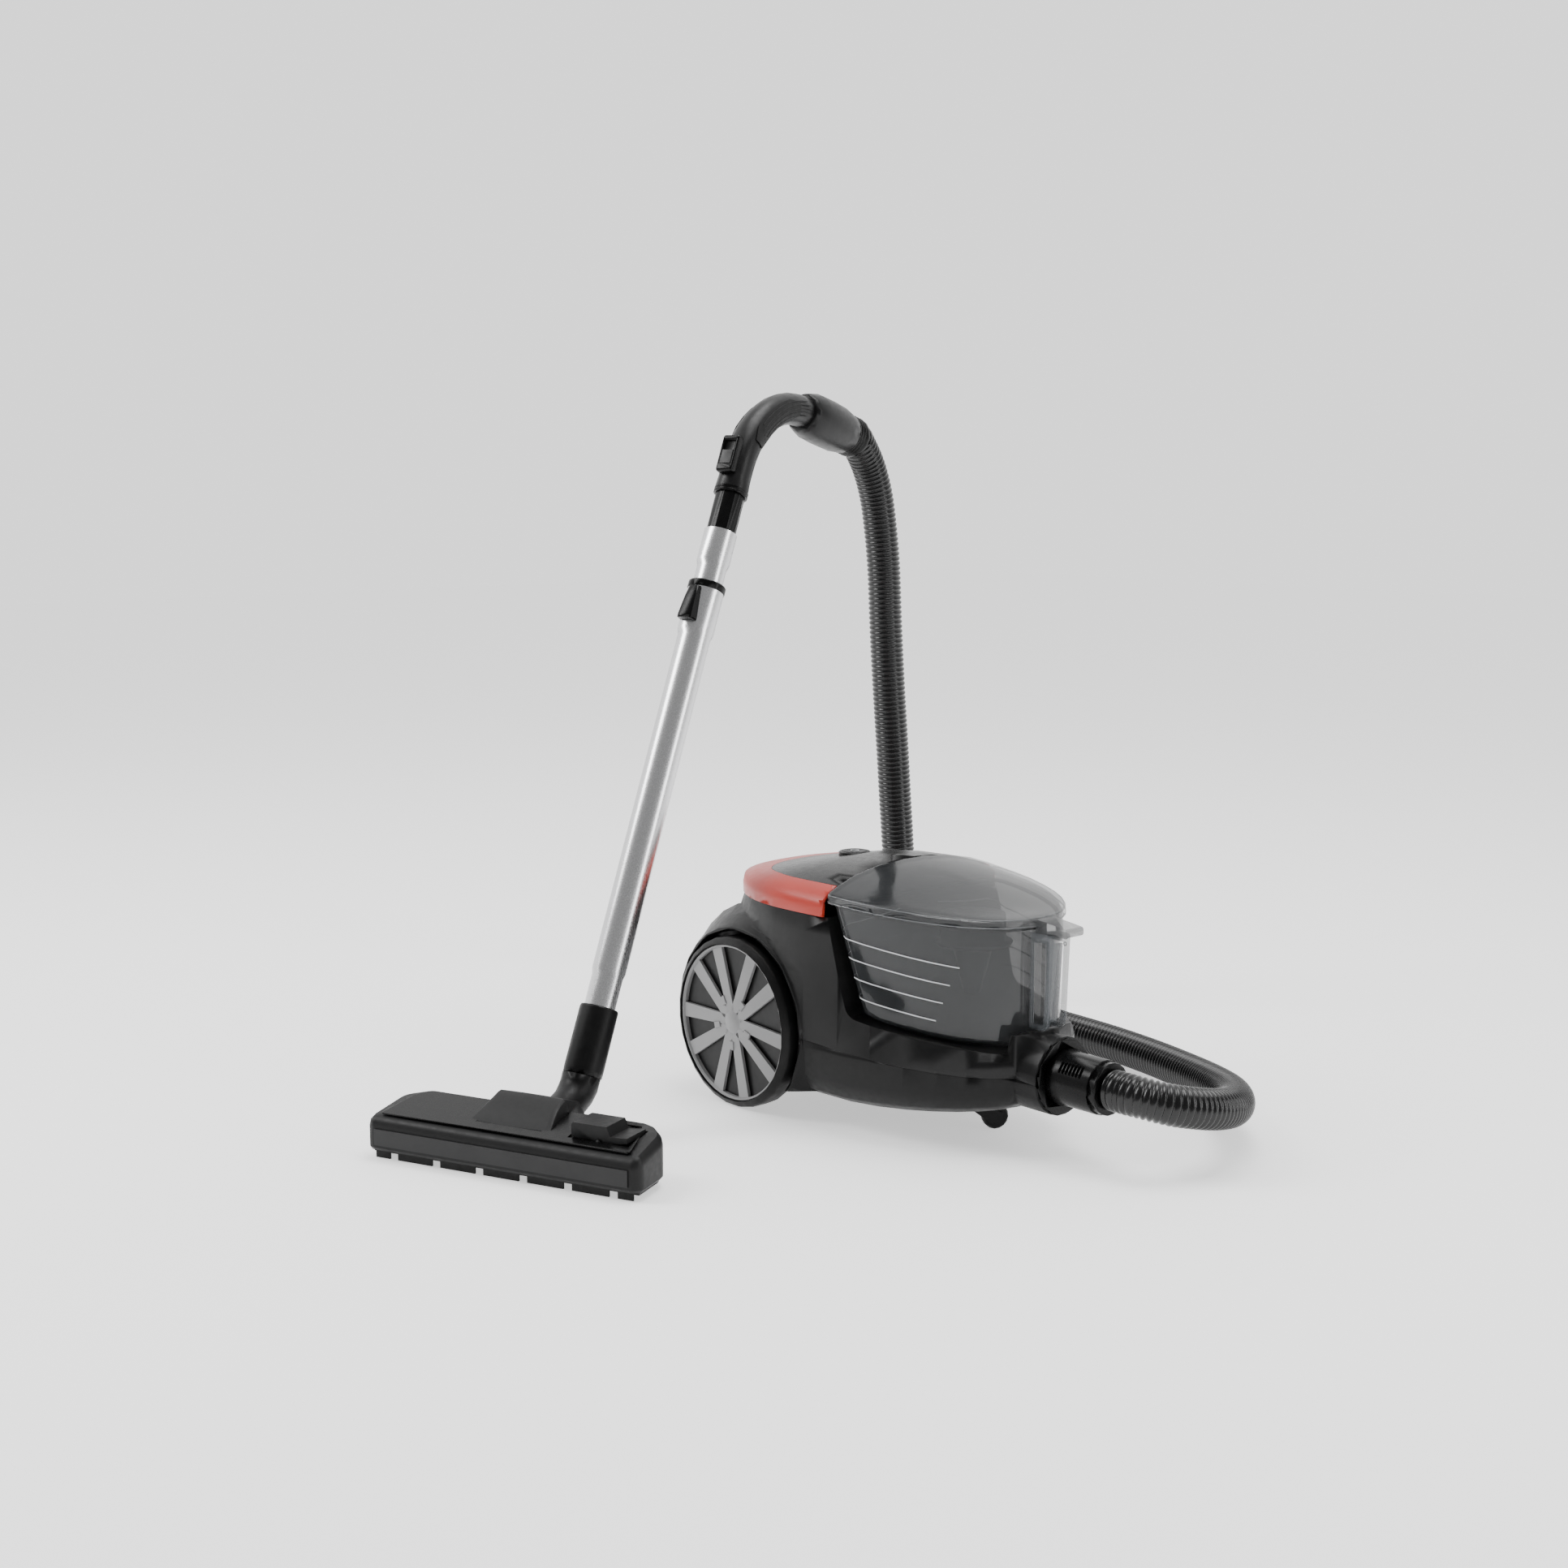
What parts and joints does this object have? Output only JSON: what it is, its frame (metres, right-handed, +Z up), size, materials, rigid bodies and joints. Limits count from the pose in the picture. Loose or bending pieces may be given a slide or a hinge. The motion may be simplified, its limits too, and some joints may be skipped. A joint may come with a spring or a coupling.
{
  "type": "canister vacuum cleaner",
  "caption": "Bagless canister vacuum cleaner with smoked dust container, large spoked wheels, corrugated hose, telescopic steel wand and combination floor head, parked upright.",
  "frame": {"origin": "on the floor under the middle of the machine, its wand and its floor head, without the hose", "axes": "+X towards the hose inlet at the front of the canister, +Y to its left side, +Z up"},
  "size_m": [0.705, 0.839, 0.7437],
  "materials": {
    "chassis_black": "satin black",
    "housing_black": "satin dark grey",
    "cover_black": "semi-gloss black",
    "coral_paint": "satin coral red",
    "tyre_black": "matt black",
    "silver_paint": "satin silver-grey paint",
    "steel": "brushed",
    "motor_zinc": "plain",
    "smoked_clear": "clear smoked moulding",
    "smoke_grey": "dark grey",
    "rubber": "matt black",
    "filter_foam": "open foam",
    "button_grey": "satin grey",
    "board_green": "circuit board",
    "head_grey": "matt dark grey",
    "strip_grey": "satin grey",
    "brush_black": "bristle"
  },
  "bodies": {
    "canister": {"chassis": "chassis_black", "upper_housing": "housing_black", "trim_band": "coral_paint", "top_cover": "cover_black", "button_bezel": "cover_black", "control_board": "board_green", "power_switch": "chassis_black", "rear_axle": "steel", "inlet_socket": "cover_black", "motor_housing": "motor_zinc", "motor_stator": "motor_zinc", "fan_shroud": "motor_zinc", "motor_filter": "filter_foam", "exhaust_filter": "filter_foam", "exhaust_grille": "chassis_black", "cord_outlet": "cover_black", "hose": "cover_black", "hose_collar": "cover_black"},
    "right_wheel": {"wheel_right": "tyre_black", "hubcap_right": "silver_paint"},
    "left_wheel": {"wheel_left": "tyre_black", "hubcap_left": "silver_paint"},
    "castor": {"castor_fork": "chassis_black"},
    "castor_roller": {"castor_wheel": "tyre_black"},
    "switch_button": {"power_button": "button_grey"},
    "motor_rotor": {"motor_armature": "steel", "fan_impeller": "motor_zinc"},
    "cord_reel": {"cord_drum": "chassis_black"},
    "container": {"dust_container": "smoked_clear", "container_grip": "smoked_clear", "cyclone_cone": "smoke_grey", "cylinder_filter": "smoke_grey"},
    "lid": {"container_lid": "smoked_clear", "lid_seal": "rubber"},
    "lid_release": {"release_button": "smoked_clear"},
    "hose_end": {"hose_cuff": "cover_black", "cuff_ring": "cover_black"},
    "handle": {"hose_sleeve": "housing_black", "handle_shell": "housing_black", "handle_collar": "cover_black", "handle_spigot": "cover_black", "grip_inlay_right": "rubber", "grip_inlay_left": "rubber", "slider_frame": "cover_black", "inner_tube": "steel"},
    "suction_slider": {"air_slider": "housing_black"},
    "lower_tube": {"outer_tube": "steel", "lock_ring": "cover_black", "neck_socket": "chassis_black"},
    "length_latch": {"tube_latch": "cover_black"},
    "neck": {"neck_elbow": "chassis_black"},
    "floor_head": {"head_frame": "head_grey", "head_top_panel": "cover_black", "head_front_strip": "strip_grey", "sole_plate": "head_grey"},
    "pedal": {"height_pedal": "head_grey"},
    "brushes": {"brush_front": "brush_black", "brush_rear": "brush_black"},
    "right_roller": {"head_wheel_right": "tyre_black"},
    "left_roller": {"head_wheel_left": "tyre_black"}
  },
  "joints": [
    {"name": "right_wheel_spin", "type": "hinge", "parent": "canister", "child": "right_wheel", "pos_m": [-0.10447, 0.03359, 0.09], "axis": [0, 1, 0], "continuous": true},
    {"name": "left_wheel_spin", "type": "hinge", "parent": "canister", "child": "left_wheel", "pos_m": [-0.10447, 0.28259, 0.09], "axis": [0, 1, 0], "continuous": true},
    {"name": "castor_swivel", "type": "hinge", "parent": "canister", "child": "castor", "pos_m": [0.11753, 0.1581, 0.02637], "axis": [0, 0, 1], "continuous": true},
    {"name": "castor_spin", "type": "hinge", "parent": "castor", "child": "castor_roller", "pos_m": [0.12722, 0.17559, 0.0135], "axis": [-0.8746, 0.4848, 0], "continuous": true},
    {"name": "button_press", "type": "slide", "parent": "canister", "child": "switch_button", "axis": [0, 0, -1], "range_m": [0, 0.003], "stiffness_N_per_m": 500},
    {"name": "motor_spin", "type": "hinge", "parent": "canister", "child": "motor_rotor", "pos_m": [-0.11947, 0.1581, 0.151], "axis": [1, 0, 0], "continuous": true},
    {"name": "reel_spin", "type": "hinge", "parent": "canister", "child": "cord_reel", "pos_m": [-0.08447, 0.1581, 0.0365], "axis": [0, 0, 1], "continuous": true},
    {"name": "container_lift", "type": "slide", "parent": "canister", "child": "container", "axis": [0, 0, 1], "range_m": [0, 0.12]},
    {"name": "lid_open", "type": "hinge", "parent": "container", "child": "lid", "pos_m": [0.02333, 0.1581, 0.266], "axis": [0, -1, 0], "range_deg": [0, 75]},
    {"name": "release_press", "type": "slide", "parent": "container", "child": "lid_release", "axis": [-1, 0, 0], "range_m": [0, 0.0028], "stiffness_N_per_m": 300},
    {"name": "cuff_swivel", "type": "hinge", "parent": "canister", "child": "hose_end", "pos_m": [0.23353, 0.1581, 0.08], "axis": [1, 0, 0], "continuous": true},
    {"name": "handle_swivel", "type": "hinge", "parent": "canister", "child": "handle", "pos_m": [-0.24071, 0.23742, 0.72277], "axis": [-0.2843, 0.9299, -0.2334], "continuous": true},
    {"name": "slider_move", "type": "slide", "parent": "handle", "child": "suction_slider", "axis": [-0.1249, 0.4087, 0.9041], "range_m": [0, 0.011]},
    {"name": "tube_extend", "type": "slide", "parent": "handle", "child": "lower_tube", "axis": [0.1249, -0.4087, -0.9041], "range_m": [0, 0.3]},
    {"name": "latch_pull", "type": "slide", "parent": "lower_tube", "child": "length_latch", "axis": [0.1249, -0.4087, -0.9041], "range_m": [0, 0.004], "stiffness_N_per_m": 400},
    {"name": "neck_swivel", "type": "hinge", "parent": "lower_tube", "child": "neck", "pos_m": [-0.11987, -0.15782, 0.0625], "axis": [-0.1249, 0.4087, 0.9041], "range_deg": [-80, 80]},
    {"name": "neck_tilt", "type": "hinge", "parent": "neck", "child": "floor_head", "pos_m": [-0.09423, -0.21972, 0.034], "axis": [0.9239, 0.3827, 0], "range_deg": [-75, 10]},
    {"name": "pedal_tilt", "type": "hinge", "parent": "floor_head", "child": "pedal", "pos_m": [0.01614, -0.22488, 0.04581], "axis": [-0.3827, 0.9239, 0], "range_deg": [0, 10]},
    {"name": "brush_lift", "type": "slide", "parent": "floor_head", "child": "brushes", "axis": [0, 0, 1], "range_m": [0, 0.007]},
    {"name": "right_roller_spin", "type": "hinge", "parent": "floor_head", "child": "right_roller", "pos_m": [0.0125, -0.2161, 0.0052], "axis": [0.9239, 0.3827, 0], "continuous": true},
    {"name": "left_roller_spin", "type": "hinge", "parent": "floor_head", "child": "left_roller", "pos_m": [-0.17227, -0.29264, 0.0052], "axis": [0.9239, 0.3827, 0], "continuous": true}
  ],
  "couplings": [
    {"joint": "brush_lift", "follows": "pedal_tilt", "m_per_rad": 0.04}
  ]
}
